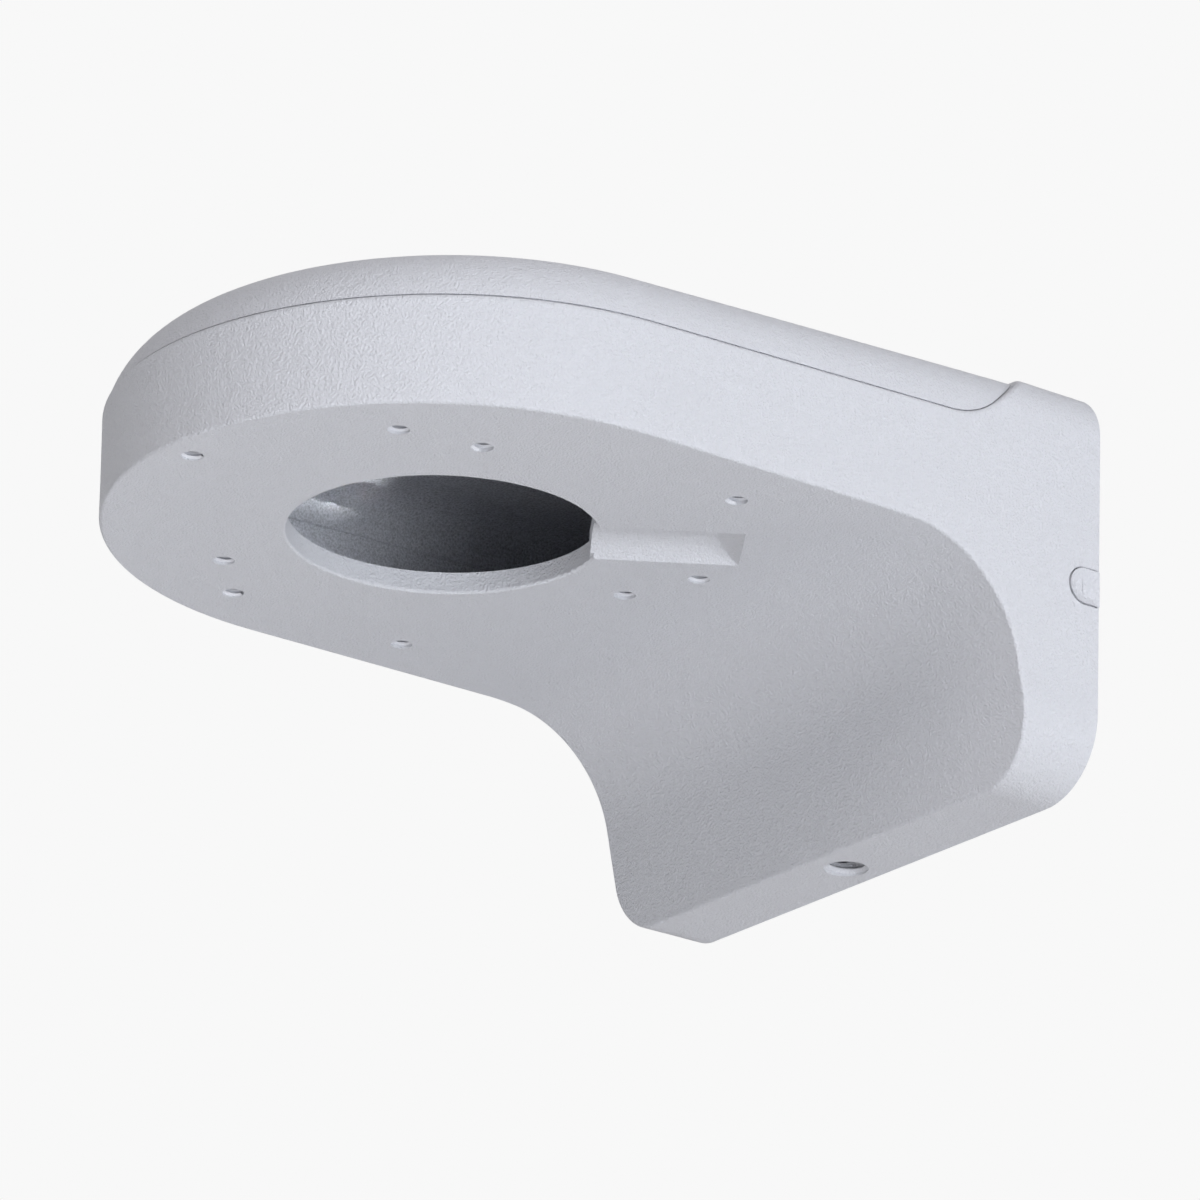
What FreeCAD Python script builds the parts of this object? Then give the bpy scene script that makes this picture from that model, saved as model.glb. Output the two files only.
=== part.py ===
"""Wall bracket for a small dome camera.

A drafted die-cast body with a round-nosed arm and a hollow wall flange, a cast cover that closes the arm
from above, and the three screws that hold the cover. X is right when looking at the wall, the wall plane is
Y = 0 and the bracket stands out towards -Y, Z is up and Z = 0 is the underside of the arm. Sizes in mm.
"""
import FreeCAD
import Part
import math
import os
import Sketcher

SIZES = [
    # Outer form of the casting
    ("half_width", 60.8, "half the width at the underside of the arm"),
    ("nose_centre", 99.8, "wall plane to the centre of the round nose and of the camera cable hole"),
    ("draft", 0.85, "lean of the side walls, degrees, wider upwards"),
    ("flange_top", 35.65, "underside of the arm to the top of the flange"),
    ("flange_drop", 40.7, "underside of the arm to the bottom of the flange"),
    ("crown_radius", 9.6, "rounding of the flange's top edges"),
    ("corner_radius", 14.1, "rounding of the flange's right bottom corner"),
    ("left_corner_radius", 9.8, "rounding of its left bottom corner"),
    ("edge_radius", 0.6, "rounding round the whole underside"),
    ("curve_start", 46.6, "wall plane to the start of the concave curve"),
    ("curve_long", 60.0, "radius where the curve leaves the underside"),
    ("curve_short", 25.2, "main radius of the concave curve"),
    ("curve_lean", 11.5, "lean of the flange's front face, degrees"),
    ("foot_depth", 14.15, "depth of the flange at its bottom edge"),
    # Seam between body and cover
    ("seam_height", 21.0, "height of the seam above the underside at the nose centre"),
    ("seam_slope", 1.45, "rise of the seam towards the wall, degrees"),
    ("step_radius", 16.0, "radius of the turn where the seam begins to climb"),
    ("step_rise", 42.0, "climb of the seam after that turn, degrees"),
    ("step_depth", 13.7, "wall plane to the place where the climb reaches the flange's top"),
    ("rim_radius", 0.85, "rounding of the body's rim at the seam"),
    # Walls and hollow of the body
    ("wall", 3.3, "side walls"),
    ("plate", 4.0, "bottom plate of the arm"),
    ("back_wall", 2.8, "wall of the flange that lies on the building"),
    ("front_wall", 2.55, "wall behind the concave curve"),
    ("bottom_wall", 2.5, "bottom of the flange"),
    ("top_wall", 3.2, "top of the flange"),
    ("inner_curve", 28.0, "radius of the hollow behind the concave curve"),
    ("inner_round", 2.4, "rounding of the inner corners"),
    # Tongue of the body that centres the cover
    ("tongue_inset", 2.1, "outer side of the body to the tongue"),
    ("tongue_height", 1.5, "tongue above the seam plane"),
    ("tongue_root", 3.0, "tongue below the seam plane"),
    ("tongue_end", 36.0, "wall plane to the end of the tongue"),
    ("tongue_play", 0.2, "clearance round the tongue"),
    # Cover
    ("seam_gap", 0.1, "open line between the rims"),
    ("step_gap", 0.15, "open line between the cover's end and the climb"),
    ("cover_inset", 0.4, "cover inside the body's side at the seam"),
    ("cover_lean", 8.0, "lean of the cover's side, degrees, narrower upwards"),
    ("cover_height", 12.25, "seam plane to the cover's top plane"),
    ("cover_wall", 3.0, "thickness of the cover"),
    ("cover_skirt", 6.0, "part of the rounded block that is cut away below the seam"),
    ("cover_round_end", 10.6, "edge rounding at the wall end"),
    ("cover_round_side", 13.8, "edge rounding where the nose begins"),
    ("cover_round_nose", 16.6, "edge rounding at the tip of the nose"),
    # Cover screws and their bosses
    ("screw_x", 42.0, "middle of the bracket to the two screws near the wall"),
    ("screw_back", 27.0, "wall plane to the two screws near the wall"),
    ("screw_nose", 136.0, "wall plane to the screw in the nose"),
    ("boss_radius", 5.0, "screw bosses of the body"),
    ("cover_boss_radius", 6.2, "screw bosses of the cover"),
    ("boss_set_down", 0.1, "boss faces below the seam plane at their low side"),
    ("web", 2.4, "webs between the bosses and the side walls"),
    ("web_set_down", 4.0, "webs below the boss faces"),
    ("screw_radius", 2.0, "cover screw thread"),
    ("screw_length", 14.0, "cover screw under its head"),
    ("screw_hole", 2.25, "hole in the cover"),
    ("tap_depth", 13.0, "depth of the thread hole in a boss"),
    ("head_radius", 3.8, "cover screw head"),
    ("head_height", 2.6, "cover screw head"),
    ("head_play", 0.5, "clearance round the head"),
    ("head_sink", 3.4, "cover's top to the seat of the head"),
    ("socket_radius", 1.5, "socket in the head"),
    ("socket_depth", 1.6, "socket in the head"),
    # Camera side
    ("cable_hole", 27.9, "radius of the camera cable hole"),
    ("cable_hole_round", 0.5, "rounding of its edge"),
    ("slot_angle", 57.3, "direction of the cable slot, degrees from +X"),
    ("slot_width", 15.2, "width of the cable slot"),
    ("slot_reach", 52.9, "nose centre to the end of the slot"),
    ("slot_depth", 3.0, "depth of the slot along its middle"),
    ("slot_run", 4.4, "length of the slope at the slot's end"),
    ("slot_pad", 2.2, "plate thicker over the slot by this much"),
    ("slot_side", 1.6, "that pad past the slot's sides and end"),
    ("slot_lip", 26.4, "nose centre to the pad's straight end in the cable hole"),
    ("slot_lip_base", 0.75, "underside to the lower face of that end"),
    ("thread_radius", 2.0, "tapped holes for the camera"),
    ("thread_boss", 4.3, "radius of the bosses over them"),
    ("thread_rise", 4.0, "height of those bosses above the plate"),
    ("outer_circle", 55.0, "radius of the outer hole circle"),
    ("outer_angle", -87.5, "its first hole, degrees from +X"),
    ("middle_circle", 48.9, "radius of the middle hole circle"),
    ("middle_angle", -44.6, "its first hole"),
    ("inner_circle", 42.0, "radius of the inner hole circle"),
    ("inner_angle", -26.5, "its first hole"),
    # Flange
    ("side_hole", 4.1, "tapped hole in the flange's bottom"),
    ("side_hole_x", -1.9, "its place along the width"),
    ("side_hole_depth", 7.0, "wall plane to its centre"),
    ("wall_hole", 2.75, "holes for the wall screws"),
    ("wall_hole_x", 30.0, "middle to the wall screws"),
    ("wall_hole_low", 9.0, "underside of the arm to the lower wall screws"),
    ("wall_hole_rise", 18.0, "lower to upper wall screws"),
    ("wall_pad", 6.5, "radius of the pads inside round the wall screws"),
    ("wall_pad_rise", 1.2, "height of those pads"),
    ("wall_cable_hole", 12.5, "radius of the cable hole to the wall"),
    ("wall_cable_height", 17.6, "underside of the arm to its centre"),
    ("recess_radius", 3.55, "knock-out recess on the right flank"),
    ("recess_height", -3.35, "its centre above the underside of the arm"),
    ("recess_end", 6.9, "wall plane to its rounded end"),
    ("recess_lip", 0.35, "web left at the wall plane"),
    ("recess_depth", 1.4, "its depth"),
    # Joined pieces and cutting outlines
    ("overlap", 1.0, "joined and cut pieces run into each other by this much"),
    ("reach", 220.0, "cutting outlines reach this far from the wall"),
    ("spare", 6.0, "cutting outlines pass the casting by this much"),
]

HOLE_COUNT = 3
RIGHT_ANGLE = 90.0

doc = FreeCAD.newDocument("camera_wall_bracket")
sheet = doc.addObject("Spreadsheet::Sheet", "Sizes")
for row, (alias, value, note) in enumerate(SIZES, start=1):
    sheet.set(f"A{row}", alias)
    sheet.set(f"B{row}", str(value))
    sheet.set(f"C{row}", note)
    sheet.setAlias(f"B{row}", alias)
doc.recompute()


def sized(formula):
    """Write bare size names as references to the sheet, for a bound property."""
    names = sorted((alias for alias, _, _ in SIZES), key=len, reverse=True)
    words, word = [], ""
    for letter in formula + " ":
        if letter.isalnum() or letter == "_":
            word += letter
            continue
        words.append(f"Sizes.{word}" if word in names else word)
        words.append(letter)
        word = ""
    return "".join(words).strip()


def bind(item, name, formula):
    """Drive a property of an object by a formula over the sheet's sizes."""
    item.setExpression(name, sized(formula))


def value(formula):
    """Return the number of a formula written with bare size names, in mm or degrees."""
    result = sheet.evalExpression(sized(formula))
    return float(getattr(result, "Value", result))


class Outline:
    """Closed chain of lines and arcs in a sketch, each end joined to the next."""

    def __init__(self, sketch):
        self.sketch = sketch
        self.chain = []

    def line(self, start, end, smooth=False, reverse=False):
        """Add a line; smooth makes it tangent to the piece before, reverse draws it end to start."""
        first, last = (end, start) if reverse else (start, end)
        shape = Part.LineSegment(FreeCAD.Vector(*first, 0), FreeCAD.Vector(*last, 0))
        return self._add(shape, (2, 1) if reverse else (1, 2), smooth)

    def arc(self, centre, radius, low, high, clockwise=False, smooth=False):
        """Add an arc between two angles in degrees, counterclockwise from low to high."""
        circle = Part.Circle(FreeCAD.Vector(*centre, 0), FreeCAD.Vector(0, 0, 1), radius)
        shape = Part.ArcOfCircle(circle, math.radians(low), math.radians(high))
        return self._add(shape, (2, 1) if clockwise else (1, 2), smooth)

    def close(self):
        """Join the last piece to the first."""
        self._join(self.chain[-1], self.chain[0], False)

    def _add(self, shape, ends, smooth):
        piece = (self.sketch.addGeometry(shape, False), *ends)
        if self.chain:
            self._join(self.chain[-1], piece, smooth)
        self.chain.append(piece)
        return piece[0]

    def _join(self, one, other, smooth):
        kind = "Tangent" if smooth else "Coincident"
        self.sketch.addConstraint(Sketcher.Constraint(kind, one[0], one[2], other[0], other[1]))


def rule(sketch, kind, *references):
    """Add a constraint without a size."""
    sketch.addConstraint(Sketcher.Constraint(kind, *references))


def dimension(sketch, name, kind, formula, *references):
    """Add a named dimension and drive it by the sheet."""
    size = value(formula)
    amount = math.radians(size) if kind == "Angle" else size
    index = sketch.addConstraint(Sketcher.Constraint(kind, *references, amount))
    sketch.renameConstraint(index, name)
    bind(sketch, f"Constraints.{name}", formula)


X_AXIS, Y_AXIS, ORIGIN = -1, -2, (-1, 1)


def new_body(name):
    """Return an empty body under its own label."""
    body = doc.addObject("PartDesign::Body", name)
    body.Label = name
    return body


def new_sketch(body, name, plane):
    """Return a sketch that lies on one of the body's own origin planes."""
    sketch = body.newObject("Sketcher::SketchObject", name)
    support = next(item for item in body.Origin.OriginFeatures if item.Role == plane)
    sketch.AttachmentSupport = [(support, "")]
    sketch.MapMode = "FlatFace"
    return sketch


def place_at(sketch, x="0", y="0", z="0"):
    """Shift a sketch on its plane: x and y along the sketch, z off the plane."""
    for axis, formula in (("x", x), ("y", y), ("z", z)):
        if formula != "0":
            bind(sketch, f".AttachmentOffset.Base.{axis}", formula)


def lay_on_seam(sketch):
    """Lay a sketch on the seam plane, its origin on the axis of the nose."""
    tilt = FreeCAD.Rotation(FreeCAD.Vector(1, 0, 0), value("seam_slope"))
    sketch.AttachmentOffset = FreeCAD.Placement(FreeCAD.Vector(0, 0, 0), tilt)
    bind(sketch, ".AttachmentOffset.Rotation.Angle", "seam_slope")
    place_at(sketch, y="-nose_centre", z="seam_height")


def extrude(body, kind, name, sketch, up, down=None, lean_up=None, lean_down=None, flip=False):
    """Pad or pocket a sketch by one or two lengths given as formulas, with optional draft."""
    doc.recompute()
    feature = body.newObject(f"PartDesign::{kind}", name)
    feature.Profile = sketch
    if down is not None:
        feature.SideType = "Two sides"
        bind(feature, "Length2", down)
    feature.Reversed = flip
    bind(feature, "Length", up)
    if lean_up is not None:
        bind(feature, "TaperAngle", lean_up)
    if lean_down is not None:
        bind(feature, "TaperAngle2", lean_down)
    doc.recompute()
    return feature


def cut_through(body, name, sketch):
    """Cut the whole body with a sketch that lies on its middle plane."""
    doc.recompute()
    feature = body.newObject("PartDesign::Pocket", name)
    feature.Profile = sketch
    feature.SideType = "Symmetric"
    feature.Type = "Length"
    bind(feature, "Length", "4 * half_width")
    doc.recompute()
    return feature


def round_edges(body, name, radius, chosen):
    """Fillet the edges of the body's tip for which chosen(edge) holds."""
    doc.recompute()
    base = body.Tip
    names = [f"Edge{i}" for i, edge in enumerate(base.Shape.Edges, start=1) if chosen(edge)]
    feature = body.newObject("PartDesign::Fillet", name)
    feature.Base = (base, names)
    bind(feature, "Radius", radius)
    doc.recompute()
    return feature


def planform(sketch, half_width, centre, end):
    """Draw the round-nosed outline of the arm: two sides, the nose in two arcs and the end line."""
    w, c, e = value(half_width), value(centre), value(end)
    outline = Outline(sketch)
    right = outline.line((w, e), (w, c))
    nose_right = outline.arc((0, c), w, -90, 0, clockwise=True, smooth=True)
    nose_left = outline.arc((0, c), w, 180, 270, clockwise=True)
    left = outline.line((-w, c), (-w, e), smooth=True)
    back = outline.line((-w, e), (w, e))
    outline.close()
    rule(sketch, "Vertical", right)
    rule(sketch, "Vertical", left)
    rule(sketch, "Horizontal", back)
    rule(sketch, "Coincident", nose_right, 3, nose_left, 3)
    rule(sketch, "PointOnObject", nose_right, 3, Y_AXIS)
    rule(sketch, "PointOnObject", nose_right, 1, Y_AXIS)
    dimension(sketch, "half_width", "Radius", half_width, nose_right)
    dimension(sketch, "centre", "DistanceY", centre, *ORIGIN, nose_right, 3)
    dimension(sketch, "end", "DistanceY", end, *ORIGIN, right, 1)


def knee():
    """Return the centre of the concave curve's main arc and the angle where the long arc meets it."""
    first, second, lean = value("curve_long"), value("curve_short"), math.radians(value("curve_lean"))
    start, foot = (-value("curve_start"), -first), (-value("foot_depth"), -value("flange_drop"))
    off_front = (start[0] - foot[0]) * math.cos(lean) + (start[1] - foot[1]) * math.sin(lean)
    blend = lean + math.acos((-second - off_front) / (first - second))
    y, z = (start[0] + (first - second) * math.cos(blend), start[1] + (first - second) * math.sin(blend))
    return (y, z), math.degrees(blend)


def underside(sketch, height, foot, curve_in=None):
    """Draw the region under the arm: flat underside, concave curve and leaning front face.

    Args:
        sketch: sketch on the middle plane.
        height: formula of the underside's height.
        foot: formula of the leaning face's distance from the wall at the bottom of the flange.
        curve_in: None for the outer form with its two radii, or the one radius of the hollow.
    """
    far, low, lean = value("reach"), value("flange_drop"), value("curve_lean")
    z, y_foot = value(height), -value(foot)
    outline = Outline(sketch)
    if curve_in is None:
        start = -value("curve_start")
        first, second = value("curve_long"), value("curve_short")
        centre, blend = knee()
    else:
        second = value(curve_in)
        blend = RIGHT_ANGLE
        corner = y_foot - (low + z) * math.tan(math.radians(lean))
        start = corner - second * math.tan(math.radians((RIGHT_ANGLE - lean) / 2))
        centre = (start, z - second)
    end = (centre[0] + second * math.cos(math.radians(lean)), centre[1] + second * math.sin(math.radians(lean)))
    flat = outline.line((-far, z), (start, z))
    if curve_in is None:
        long_arc = outline.arc((start, z - first), first, blend, RIGHT_ANGLE, clockwise=True, smooth=True)
    short_arc = outline.arc(centre, second, lean, blend, clockwise=True, smooth=True)
    front = outline.line(end, (y_foot, -low), smooth=True, reverse=True)
    drop = outline.line((y_foot, -low), (y_foot, -low - value("spare")))
    bottom = outline.line((y_foot, -low - value("spare")), (-far, -low - value("spare")))
    side = outline.line((-far, -low - value("spare")), (-far, z))
    outline.close()
    rule(sketch, "Horizontal", flat)
    rule(sketch, "Vertical", drop)
    rule(sketch, "Horizontal", bottom)
    rule(sketch, "Vertical", side)
    dimension(sketch, "far", "DistanceX", "-reach", *ORIGIN, side, 2)
    if height == "0":
        rule(sketch, "PointOnObject", flat, 1, X_AXIS)
    else:
        dimension(sketch, "height", "DistanceY", height, *ORIGIN, flat, 1)
    if curve_in is None:
        dimension(sketch, "start", "DistanceX", "-curve_start", *ORIGIN, flat, 2)
        dimension(sketch, "long", "Radius", "curve_long", long_arc)
        dimension(sketch, "short", "Radius", "curve_short", short_arc)
    else:
        dimension(sketch, "curve", "Radius", curve_in, short_arc)
    dimension(sketch, "lean", "Angle", "90 + curve_lean", front)
    dimension(sketch, "foot", "DistanceX", f"-({foot})", *ORIGIN, front, 1)
    dimension(sketch, "drop", "DistanceY", "-flange_drop", *ORIGIN, front, 1)
    dimension(sketch, "below", "DistanceY", "-flange_drop - spare", *ORIGIN, drop, 2)


def seam_level(raise_by):
    """Return the formula of the seam's height at the far end of the cutting outlines."""
    return f"seam_height + {raise_by} - (reach - nose_centre) * tan(seam_slope)"


def climb_end(gap):
    """Return the formula of the place where the climb, moved off by a gap, ends above the flange."""
    return f"-step_depth + spare / tan(step_rise) - {gap} / sin(step_rise)"


def seam_turn(raise_by="0", gap="0"):
    """Return the turn of the seam: where its slope ends, the centre, where the climb begins, the radius."""
    far, end, top = value("reach"), value(climb_end(gap)), value("flange_top + spare")
    radius = value(f"step_radius - {gap}")
    tilt, climb = math.radians(value("seam_slope")), math.radians(value("step_rise"))
    level = value(seam_level(raise_by)) + far * math.tan(tilt)
    y = (level - top + end * math.tan(climb)) / (math.tan(climb) - math.tan(tilt))
    z = level + y * math.tan(tilt)
    length = radius * math.tan((climb - tilt) / 2)
    start = (y - length * math.cos(tilt), z - length * math.sin(tilt))
    centre = (start[0] - radius * math.sin(tilt), start[1] + radius * math.cos(tilt))
    return start, centre, (y + length * math.cos(climb), z + length * math.sin(climb)), radius


def seam_line(sketch, above, raise_by="0", gap="0"):
    """Draw the region above or below the seam: its slope, the turn and the climb to the flange's top.

    Args:
        sketch: sketch on the middle plane.
        above: True for the region above the seam, False for the one below.
        raise_by: formula of the height over the seam.
        gap: formula of the distance from the climb, towards the nose.
    """
    far, level = value("reach"), seam_level(raise_by)
    start, centre, foot, radius = seam_turn(raise_by, gap)
    slope, rise = value("seam_slope"), value("step_rise")
    end, top = value(climb_end(gap)), value("flange_top + spare")
    outline = Outline(sketch)
    seam = outline.line((-far, value(level)), start)
    turn = outline.arc(centre, radius, slope - RIGHT_ANGLE, rise - RIGHT_ANGLE, smooth=True)
    climb = outline.line(foot, (end, top), smooth=True)
    if above:
        over = outline.line((end, top), (-far, top))
        outline.line((-far, top), (-far, value(level)))
        outline.close()
        rule(sketch, "Horizontal", over)
        rule(sketch, "Vertical", over + 1)
    else:
        low, back = -value("flange_drop + spare"), value("spare")
        over = outline.line((end, top), (back, top))
        outline.line((back, top), (back, low))
        outline.line((back, low), (-far, low))
        outline.line((-far, low), (-far, value(level)))
        outline.close()
        rule(sketch, "Horizontal", over)
        rule(sketch, "Vertical", over + 1)
        rule(sketch, "Horizontal", over + 2)
        rule(sketch, "Vertical", over + 3)
        dimension(sketch, "back", "DistanceX", "spare", *ORIGIN, over, 2)
        dimension(sketch, "low", "DistanceY", "-flange_drop - spare", *ORIGIN, over + 2, 1)
    dimension(sketch, "slope", "Angle", "seam_slope", seam)
    dimension(sketch, "turn", "Radius", f"step_radius - {gap}", turn)
    dimension(sketch, "rise", "Angle", "step_rise", climb)
    dimension(sketch, "end", "DistanceX", climb_end(gap), *ORIGIN, climb, 2)
    dimension(sketch, "far", "DistanceX", "-reach", *ORIGIN, seam, 1)
    dimension(sketch, "level", "DistanceY", level, *ORIGIN, seam, 1)
    dimension(sketch, "top", "DistanceY", "flange_top + spare", *ORIGIN, climb, 2)


def behind(sketch, depth):
    """Draw the region behind a plane parallel to the wall, depth in front of it."""
    y, far, high, low = -value(depth), value("reach"), value("flange_top + spare"), -value("flange_drop + spare")
    outline = Outline(sketch)
    front = outline.line((y, low), (y, high))
    outline.line((y, high), (far, high))
    outline.line((far, high), (far, low))
    outline.line((far, low), (y, low))
    outline.close()
    rule(sketch, "Vertical", front)
    rule(sketch, "Horizontal", front + 1)
    rule(sketch, "Vertical", front + 2)
    rule(sketch, "Horizontal", front + 3)
    if depth == "0":
        rule(sketch, "PointOnObject", front, 1, Y_AXIS)
    else:
        dimension(sketch, "depth", "DistanceX", f"-({depth})", *ORIGIN, front, 1)
    dimension(sketch, "far", "DistanceX", "reach", *ORIGIN, front + 1, 2)
    dimension(sketch, "high", "DistanceY", "flange_top + spare", *ORIGIN, front, 2)
    dimension(sketch, "low", "DistanceY", "-flange_drop - spare", *ORIGIN, front, 1)


def samples(edge, count=5):
    """Return points along an edge, its ends included."""
    first, last = edge.FirstParameter, edge.LastParameter
    return [edge.valueAt(first + (last - first) * i / (count - 1)) for i in range(count)]


NEAR = 0.02


def on_underside(point):
    """Tell whether a point lies on the outer underside, concave curve or leaning front face."""
    first, second, lean = value("curve_long"), value("curve_short"), math.radians(value("curve_lean"))
    y, z = point.y, point.z
    if abs(z) < NEAR and y < -value("curve_start") + NEAR:
        return True
    if z > NEAR or y > -value("foot_depth") + NEAR:
        return False
    foot = (-value("foot_depth"), -value("flange_drop"))
    off_front = (y - foot[0]) * math.cos(lean) + (z - foot[1]) * math.sin(lean)
    if abs(off_front) < NEAR:
        return True
    start = -value("curve_start")
    if abs(math.hypot(y - start, z + first) - first) < NEAR and y > start:
        return True
    centre, _ = knee()
    return abs(math.hypot(y - centre[0], z - centre[1]) - second) < NEAR


# The body's outer form
body = new_body("bracket_body")
sketch = new_sketch(body, "arm_planform", "XY_Plane")
planform(sketch, "half_width", "-nose_centre", "spare")
extrude(body, "Pad", "block", sketch, "flange_top", "flange_drop", "draft", "-draft")

sketch = new_sketch(body, "wall_plane", "YZ_Plane")
behind(sketch, "0")
cut_through(body, "wall_face", sketch)


def is_crown(edge):
    """Pick the top outline of the flange and arm, but not its edge at the wall."""
    points = samples(edge)
    return all(abs(p.z - value("flange_top")) < NEAR for p in points) and min(p.y for p in points) < -NEAR


def bottom_corner(drop, side):
    """Return a test for the flange's bottom corner, drop below the arm, on the side 1 right or -1 left."""
    level, far_out = -value(drop), value("half_width") / 2

    def chosen(edge):
        points = samples(edge)
        low = all(abs(p.z - level) < NEAR and p.x * side > far_out for p in points)
        return low and abs(points[0].y - points[-1].y) > NEAR

    return chosen


CORNERS = (("right", 1, "corner_radius"), ("left", -1, "left_corner_radius"))

round_edges(body, "crown", "crown_radius", is_crown)

sketch = new_sketch(body, "underside_line", "YZ_Plane")
underside(sketch, "0", "foot_depth")
cut_through(body, "under_arm", sketch)
for name, side, radius in CORNERS:
    round_edges(body, f"{name}_corner", radius, bottom_corner("flange_drop", side))


def is_underside_outline(edge):
    """Pick the closed outline round the underside, concave curve and leaning front face."""
    owners = [f for f in UNDER_FACES if any(e.isSame(edge) for e in f.Edges)]
    return len(owners) == 1


UNDER_FACES = [
    face for face in body.Tip.Shape.Faces
    if on_underside(face.valueAt(*[sum(face.ParameterRange[i:i + 2]) / 2 for i in (0, 2)]))
    and all(on_underside(vertex.Point) for vertex in face.Vertexes)
]
round_edges(body, "underside_edge", "edge_radius", is_underside_outline)

sketch = new_sketch(body, "seam_line", "YZ_Plane")
seam_line(sketch, above=True)
cut_through(body, "cover_seat", sketch)


def is_rim(edge):
    """Pick the outer outline of the seat the cover stands on, up the climb and over the flange."""
    owners = [f for f in SEAT_FACES if any(e.isSame(edge) for e in f.Edges)]
    return len(owners) == 1


def on_seat(point):
    """Tell whether a point lies on the seam's slope, turn or climb."""
    start, centre, foot, radius = seam_turn()
    if start[0] + NEAR < point.y < foot[0] - NEAR:
        return abs(math.hypot(point.y - centre[0], point.z - centre[1]) - radius) < NEAR
    corner, angle = (start, "seam_slope") if point.y < start[0] + NEAR else (foot, "step_rise")
    lean = math.radians(value(angle))
    return abs((point.z - corner[1]) * math.cos(lean) - (point.y - corner[0]) * math.sin(lean)) < NEAR


SEAT_FACES = [
    face for face in body.Tip.Shape.Faces
    if on_seat(face.valueAt(*[sum(face.ParameterRange[i:i + 2]) / 2 for i in (0, 2)]))
    and all(on_seat(vertex.Point) for vertex in face.Vertexes)
]
round_edges(body, "rim", "rim_radius", is_rim)


def circles(sketch, places, radius):
    """Draw equal circles at places given as pairs of formulas, in the sketch's own x and y."""
    first = None
    for number, (x, y) in enumerate(places):
        centre = FreeCAD.Vector(value(x), value(y), 0)
        index = sketch.addGeometry(Part.Circle(centre, FreeCAD.Vector(0, 0, 1), value(radius)), False)
        if first is None:
            first = index
            dimension(sketch, "radius", "Radius", radius, index)
        else:
            rule(sketch, "Equal", first, index)
        for kind, axis, formula in (("DistanceX", "x", x), ("DistanceY", "y", y)):
            if formula == "0":
                rule(sketch, "PointOnObject", index, 3, Y_AXIS if axis == "x" else X_AXIS)
            else:
                dimension(sketch, f"{axis}{number}", kind, formula, *ORIGIN, index, 3)


def rectangle(sketch, left, low, right, high, suffix=""):
    """Draw an upright rectangle between formulas for its four sides."""
    x0, y0, x1, y1 = (value(side) for side in (left, low, right, high))
    outline = Outline(sketch)
    bottom = outline.line((x0, y0), (x1, y0))
    outline.line((x1, y0), (x1, y1))
    outline.line((x1, y1), (x0, y1))
    outline.line((x0, y1), (x0, y0))
    outline.close()
    rule(sketch, "Horizontal", bottom)
    rule(sketch, "Vertical", bottom + 1)
    rule(sketch, "Horizontal", bottom + 2)
    rule(sketch, "Vertical", bottom + 3)
    dimension(sketch, "left" + suffix, "DistanceX", left, *ORIGIN, bottom, 1)
    dimension(sketch, "low" + suffix, "DistanceY", low, *ORIGIN, bottom, 1)
    dimension(sketch, "right" + suffix, "DistanceX", right, *ORIGIN, bottom + 1, 2)
    dimension(sketch, "high" + suffix, "DistanceY", high, *ORIGIN, bottom + 1, 2)


BACK_JOINT = "seam_height + (nose_centre - screw_back - boss_radius) * tan(seam_slope) - boss_set_down"
NOSE_JOINT = "seam_height + (nose_centre - screw_nose - boss_radius) * tan(seam_slope) - boss_set_down"
BACK_SCREWS = (("screw_x", "-screw_back"), ("-screw_x", "-screw_back"))
NOSE_SCREW = (("0", "-screw_nose"),)

# The hollow of the body, as one core: bosses, webs and pads are pockets in it
core = new_body("body_core")
sketch = new_sketch(core, "core_planform", "XY_Plane")
planform(sketch, "half_width - wall", "-nose_centre", "spare")
extrude(core, "Pad", "core_block", sketch, "flange_top - top_wall", "flange_drop - bottom_wall", "draft", "-draft")

sketch = new_sketch(core, "core_back", "YZ_Plane")
behind(sketch, "back_wall")
cut_through(core, "core_back_cut", sketch)


def is_core_crown(edge):
    """Pick the top outline of the core."""
    level = value("flange_top - top_wall")
    points = samples(edge)
    return all(abs(p.z - level) < NEAR for p in points) and min(p.y for p in points) < -value("back_wall") - NEAR


round_edges(core, "core_crown", "crown_radius - top_wall", is_core_crown)

sketch = new_sketch(core, "core_underside", "YZ_Plane")
underside(sketch, "plate", "foot_depth - front_wall / cos(curve_lean)", "inner_curve")
cut_through(core, "core_under_cut", sketch)
for name, side, radius in CORNERS:
    round_edges(core, f"core_{name}_corner", f"{radius} - wall", bottom_corner("flange_drop - bottom_wall", side))


def is_core_back(edge):
    """Pick the outline of the core's face at the back wall."""
    return all(abs(p.y + value("back_wall")) < NEAR for p in samples(edge))


round_edges(core, "core_back_round", "inner_round", is_core_back)

FLOOR = "flange_drop + spare"
sketch = new_sketch(core, "back_bosses", "XY_Plane")
place_at(sketch, z=f"-({FLOOR})")
circles(sketch, BACK_SCREWS, "boss_radius")
extrude(core, "Pocket", "back_boss_pockets", sketch, f"{FLOOR} + {BACK_JOINT}", flip=True)

sketch = new_sketch(core, "back_webs", "XY_Plane")
place_at(sketch, z=f"-({FLOOR})")
for side, (left, right) in enumerate((("screw_x", "half_width"), ("-half_width", "-screw_x"))):
    rectangle(sketch, left, "-screw_back - web / 2", right, "-screw_back + web / 2", str(side))
extrude(core, "Pocket", "back_web_pockets", sketch, f"{FLOOR} + {BACK_JOINT} - web_set_down", flip=True)

sketch = new_sketch(core, "nose_boss", "XY_Plane")
place_at(sketch, z=f"-({FLOOR})")
circles(sketch, NOSE_SCREW, "boss_radius")
extrude(core, "Pocket", "nose_boss_pocket", sketch, f"{FLOOR} + {NOSE_JOINT}", flip=True)

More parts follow.
